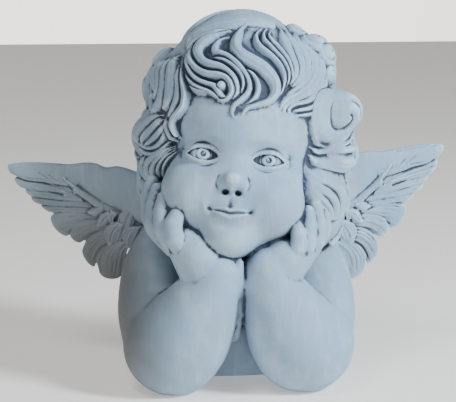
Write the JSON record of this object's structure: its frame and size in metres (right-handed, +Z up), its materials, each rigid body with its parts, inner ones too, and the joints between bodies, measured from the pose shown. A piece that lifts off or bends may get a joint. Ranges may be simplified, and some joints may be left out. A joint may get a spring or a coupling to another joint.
{
  "type": "grave angel statue",
  "caption": "Winged cherub bust resting its chin in both hands, elbows down, cast in one piece with a flat underside, in a washed pale blue-grey finish.",
  "frame": {"origin": "on the flat underside, inside the chest's base, midway between the elbows", "axes": "+Z up, -Y the way the face looks, +X towards the figure's left wing, which is on the right as seen from the front"},
  "size_m": [0.3154, 0.1613, 0.2525],
  "materials": {
    "washed_resin": "matte pale blue-grey resin with a darker slate wash in the recesses"
  },
  "bodies": {
    "root": {"cherub_bust": "washed_resin"}
  },
  "joints": []
}
